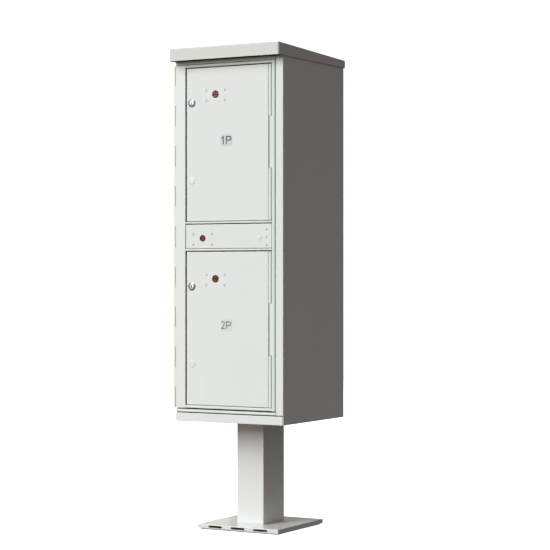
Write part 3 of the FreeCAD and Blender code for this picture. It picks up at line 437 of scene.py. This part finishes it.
def bronze_cylinder(prefix, radius, pin_side, body):
    """Bronze key cylinder: chamfered rim, ring groove, level keyway, drive disc and crank pin."""
    node = prefix + "_cylinder"
    low_corner, high_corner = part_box(node)
    x, z = middle(node).x, middle(node).z
    disc_radius = (high_corner.x - low_corner.x) / 2
    disc_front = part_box(prefix + "_case")[0].y + CASE_WALL
    disc_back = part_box(prefix + "_bolt")[0].y - 0.002
    face = low_corner.y
    loops = [circle(x, disc_back, z, disc_radius), circle(x, disc_front, z, disc_radius),
             circle(x, disc_front, z, radius), circle(x, face + 0.0008, z, radius),
             circle(x, face, z, radius - 0.0008), circle(x, face, z, radius * 0.80),
             circle(x, face + 0.0007, z, radius * 0.77), circle(x, face + 0.0007, z, radius * 0.73),
             circle(x, face + 0.0001, z, radius * 0.70)]
    materials = [0] * (len(loops) - 1) + [2]
    half_width = radius * 0.56
    loops += [keyway(x, face + 0.0001, z, half_width, 0.0014),
              keyway(x, face + 0.0006, z, half_width - 0.0004, 0.0010),
              keyway(x, face + 0.0090, z, half_width - 0.0004, 0.0010)]
    materials += [1, 1, 1]
    form = bmesh.new()
    loft(form, loops, materials)
    pin_x = x + pin_side * CRANK_PIN_OFFSET
    pin_z = z + CRANK_PIN_OFFSET
    pin_end = high_corner.y
    loft(form, [circle(pin_x, disc_back - 0.001, pin_z, CRANK_PIN_RADIUS),
                circle(pin_x, pin_end - 0.0004, pin_z, CRANK_PIN_RADIUS),
                circle(pin_x, pin_end, pin_z, CRANK_PIN_RADIUS - 0.0004)])
    make_piece(prefix + "_cylinder_detail", form, [MATERIALS["bronze_cylinder"], KEYWAY_SHADE, BRONZE_PLUG],
               body, node)


# ---------------------------------------------------------------- hole plugs
RIM_SHARE = 0.62
STEM_LENGTH = 0.009
DOOR_PLUG_STEM = 0.008
CENTRE_PLUG_STEM = 0.005
DOME_STEPS = 8


def hole_plug(node, body, stem_radius):
    """Moulded snap-in plug: domed flange with a thin rim, and a stem with a snap ring behind."""
    low_corner, high_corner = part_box(node)
    x, z = middle(node).x, middle(node).z
    radius = (high_corner.x - low_corner.x) / 2
    front, back = low_corner.y, high_corner.y
    panel = back - STEM_LENGTH
    proud = panel - front
    wall = proud * RIM_SHARE
    loops = [circle(x, back, z, stem_radius - 0.001), circle(x, back - 0.001, z, stem_radius - 0.0004),
             circle(x, panel + 0.0038, z, stem_radius), circle(x, panel + 0.0026, z, stem_radius - 0.0005),
             circle(x, panel, z, stem_radius - 0.0005), circle(x, panel, z, radius - 0.0001),
             circle(x, panel - 0.0002, z, radius), circle(x, panel - wall, z, radius * 0.95)]
    for step in range(1, DOME_STEPS + 1):
        turn = math.pi / 2 * step / DOME_STEPS
        height = wall + (proud - wall) * math.sin(turn)
        loops.append(circle(x, panel - height, z, radius * (0.02 + 0.93 * math.cos(turn))))
    form = bmesh.new()
    loft(form, loops)
    make_piece(node + "_detail", form, [MATERIALS["white_plastic"]], body, node)


# ---------------------------------------------------------------- printed numbers
PRINT_HEIGHT = 0.0255
STROKE_WIDTH = 0.0037
SYMBOL_STARTS = (-0.0192, -0.0016)
STROKE_THICKNESS = 0.0001
STROKE_LAYER = 0.00003
ARC_STEPS = 20


def arc(x, z, radius, start, end):
    """Points along an arc, from one angle to another, in degrees."""
    angles = [math.radians(start + (end - start) * i / ARC_STEPS) for i in range(ARC_STEPS + 1)]
    return [(x + radius * math.cos(a), z + radius * math.sin(a)) for a in angles]


def strokes_of(symbol, x):
    """Centre lines of a plain symbol that starts at x and is PRINT_HEIGHT tall about z = 0."""
    top = PRINT_HEIGHT / 2
    line = top - STROKE_WIDTH / 2
    stem = x + STROKE_WIDTH / 2
    if symbol == "1":
        return [[(x + 0.0006, 0.0052), (x + 0.0078, line - 0.0002)], [(x + 0.0076, top), (x + 0.0076, -top)]]
    if symbol == "2":
        bend = arc(x + 0.0067, line - 0.0051, 0.0051, 170, -38)
        return [bend + [(stem + 0.0004, -line)], [(x, -line), (x + 0.0136, -line)]]
    bowl = arc(x + 0.0126, line - 0.0057, 0.0057, 90, -90)
    return [[(stem, top), (stem, -top)], [(stem, line)] + bowl + [(stem, line - 0.0114)]]


def ribbon(form, points, place_at):
    """Thin flat stroke of even width that follows the points, facing the front."""
    sides = []
    for i, point in enumerate(points):
        before = Vector(points[max(i - 1, 0)])
        after = Vector(points[min(i + 1, len(points) - 1)])
        along = (after - before).normalized()
        across = Vector((-along.y, along.x)) * STROKE_WIDTH / 2
        ends = [Vector(point) + across, Vector(point) - across]
        sides.append([place_at + Vector((p.x, y, p.y)) for y in (0.0, STROKE_THICKNESS) for p in ends])
    rows = [[form.verts.new(p) for p in (row[0], row[1], row[3], row[2])] for row in sides]
    for first, second in zip(rows, rows[1:]):
        for i in range(4):
            j = (i + 1) % 4
            form.faces.new((first[i], first[j], second[j], second[i]))
    form.faces.new(rows[0])
    form.faces.new(rows[-1])


def number_print(prefix, words, ink):
    """The compartment's number on its label; each stroke lies a little proud of the one before."""
    label = prefix + "_number_label"
    spot = middle(label)
    spot.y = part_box(label)[0].y - STROKE_THICKNESS
    form = bmesh.new()
    for symbol, x in zip(words, SYMBOL_STARTS):
        for layer, points in enumerate(strokes_of(symbol, x)):
            ribbon(form, points, spot - Vector((0.0, STROKE_LAYER * layer, 0.0)))
    make_piece(prefix + "_number_print", form, [ink], prefix + "_parcel_door")


# ---------------------------------------------------------------- stage and light
FLOOR_RADIUS = 9.0
SWEEP_RADIUS = 3.0
WALL_TOP = 13.0
FLOOR_TURNS = 96
SWEEP_STEPS = 9
FLOOR_GLOW = 1.0


def make_floor():
    """A pale round studio sweep: flat floor that curves up into a wall all the way round."""
    profile = [(0.0, 0.0), (FLOOR_RADIUS, 0.0)]
    for step in range(1, SWEEP_STEPS + 1):
        a = math.pi / 2 * step / SWEEP_STEPS
        profile.append((FLOOR_RADIUS + SWEEP_RADIUS * math.sin(a), SWEEP_RADIUS * (1 - math.cos(a))))
    profile.append((FLOOR_RADIUS + SWEEP_RADIUS, WALL_TOP))
    form = bmesh.new()
    centre = form.verts.new((0.0, 0.0, 0.0))
    rows = []
    for radius, z in profile[1:]:
        turns = [2 * math.pi * i / FLOOR_TURNS for i in range(FLOOR_TURNS)]
        rows.append([form.verts.new((radius * math.cos(a), radius * math.sin(a), z)) for a in turns])
    for i in range(FLOOR_TURNS):
        j = (i + 1) % FLOOR_TURNS
        form.faces.new((centre, rows[0][i], rows[0][j]))
        for first, second in zip(rows, rows[1:]):
            form.faces.new((first[i], second[i], second[j], first[j]))
    mesh = bpy.data.meshes.new("floor")
    form.to_mesh(mesh)
    form.free()
    for face in mesh.polygons:
        face.use_smooth = True
    floor = bpy.data.objects.new("floor", mesh)
    SCENE.collection.objects.link(floor)
    material, tree, shader = new_material("floor_paper")
    paper = blend(tree, noise(tree, 3.0), (0.52, 0.52, 0.52), (0.50, 0.50, 0.50))
    tree.links.new(paper, shader.inputs["Base Color"])
    shader.inputs["Roughness"].default_value = 0.9
    shader.inputs["Emission Color"].default_value = (1.0, 1.0, 1.0, 1.0)
    shader.inputs["Emission Strength"].default_value = FLOOR_GLOW
    mesh.materials.append(material)
    floor.visible_diffuse = False
    floor.visible_glossy = False
    floor.visible_shadow = False


def area_light(name, place_at, aim, size, power, colour=(1.0, 1.0, 1.0)):
    data = bpy.data.lights.new(name, "AREA")
    data.shape = "RECTANGLE"
    data.size, data.size_y = size
    data.energy = power
    data.color = colour
    light = bpy.data.objects.new(name, data)
    light.location = place_at
    light.rotation_euler = (Vector(aim) - Vector(place_at)).to_track_quat("-Z", "Y").to_euler()
    light.visible_camera = False
    SCENE.collection.objects.link(light)


def make_world(above, below):
    """Even light from all round, weaker from below the horizon, as over a studio floor."""
    world = bpy.data.worlds.new("studio")
    world.use_nodes = True
    tree = world.node_tree
    background = tree.nodes["Background"]
    background.inputs["Color"].default_value = (1.0, 0.905, 0.915, 1.0)
    split = tree.nodes.new("ShaderNodeSeparateXYZ")
    tree.links.new(tree.nodes.new("ShaderNodeTexCoord").outputs["Generated"], split.inputs[0])
    tree.links.new(span(tree, split.outputs["Z"], -0.1, 0.1, below, above), background.inputs["Strength"])
    SCENE.world = world


def make_light():
    SCENE.view_settings.view_transform = "Standard"
    make_world(0.236, 0.105)
    area_light("key", (-5.9, -12.6, 8.8), (0.0, 0.0, 0.8), (9.0, 12.0), 2900.0, (0.95, 1.0, 1.0))
    area_light("low_fill", (-1.4, -3.0, 0.35), (-0.2, 0.0, 0.5), (2.4, 0.7), 8.0, (1.0, 0.62, 0.4))
    area_light("left_rim", (-4.6, 0.6, 1.6), (0.0, 0.0, 0.9), (1.6, 3.0), 30.0, (1.0, 0.88, 0.76))
    area_light("back_fill", (-5.6, 5.6, 2.2), (0.0, 0.0, 0.8), (3.0, 3.0), 260.0)
    area_light("back_card", (-1.55, 1.0, 0.35), (0.0, 0.0, 0.05), (1.6, 0.9), 2.1, (1.0, 0.85, 0.5))


make_camera()
paint_nodes()
for prefix in ("upper", "lower"):
    customer_barrel(prefix)
    customer_plug(prefix)
    bronze_cylinder(prefix + "_carrier_lock", CARRIER_CYLINDER_RADIUS, 1, prefix + "_carrier_lock_cylinder")
    hole_plug(prefix + "_hole_plug", prefix + "_parcel_door", DOOR_PLUG_STEM)
bronze_cylinder("master_lock", MASTER_CYLINDER_RADIUS, -1, "master_lock_cylinder")
hole_plug("centre_panel_plug", "master_door", CENTRE_PLUG_STEM)
number_print("upper", "1P", PRINT_INK)
number_print("lower", "2P", FADED_INK)
make_floor()
make_light()
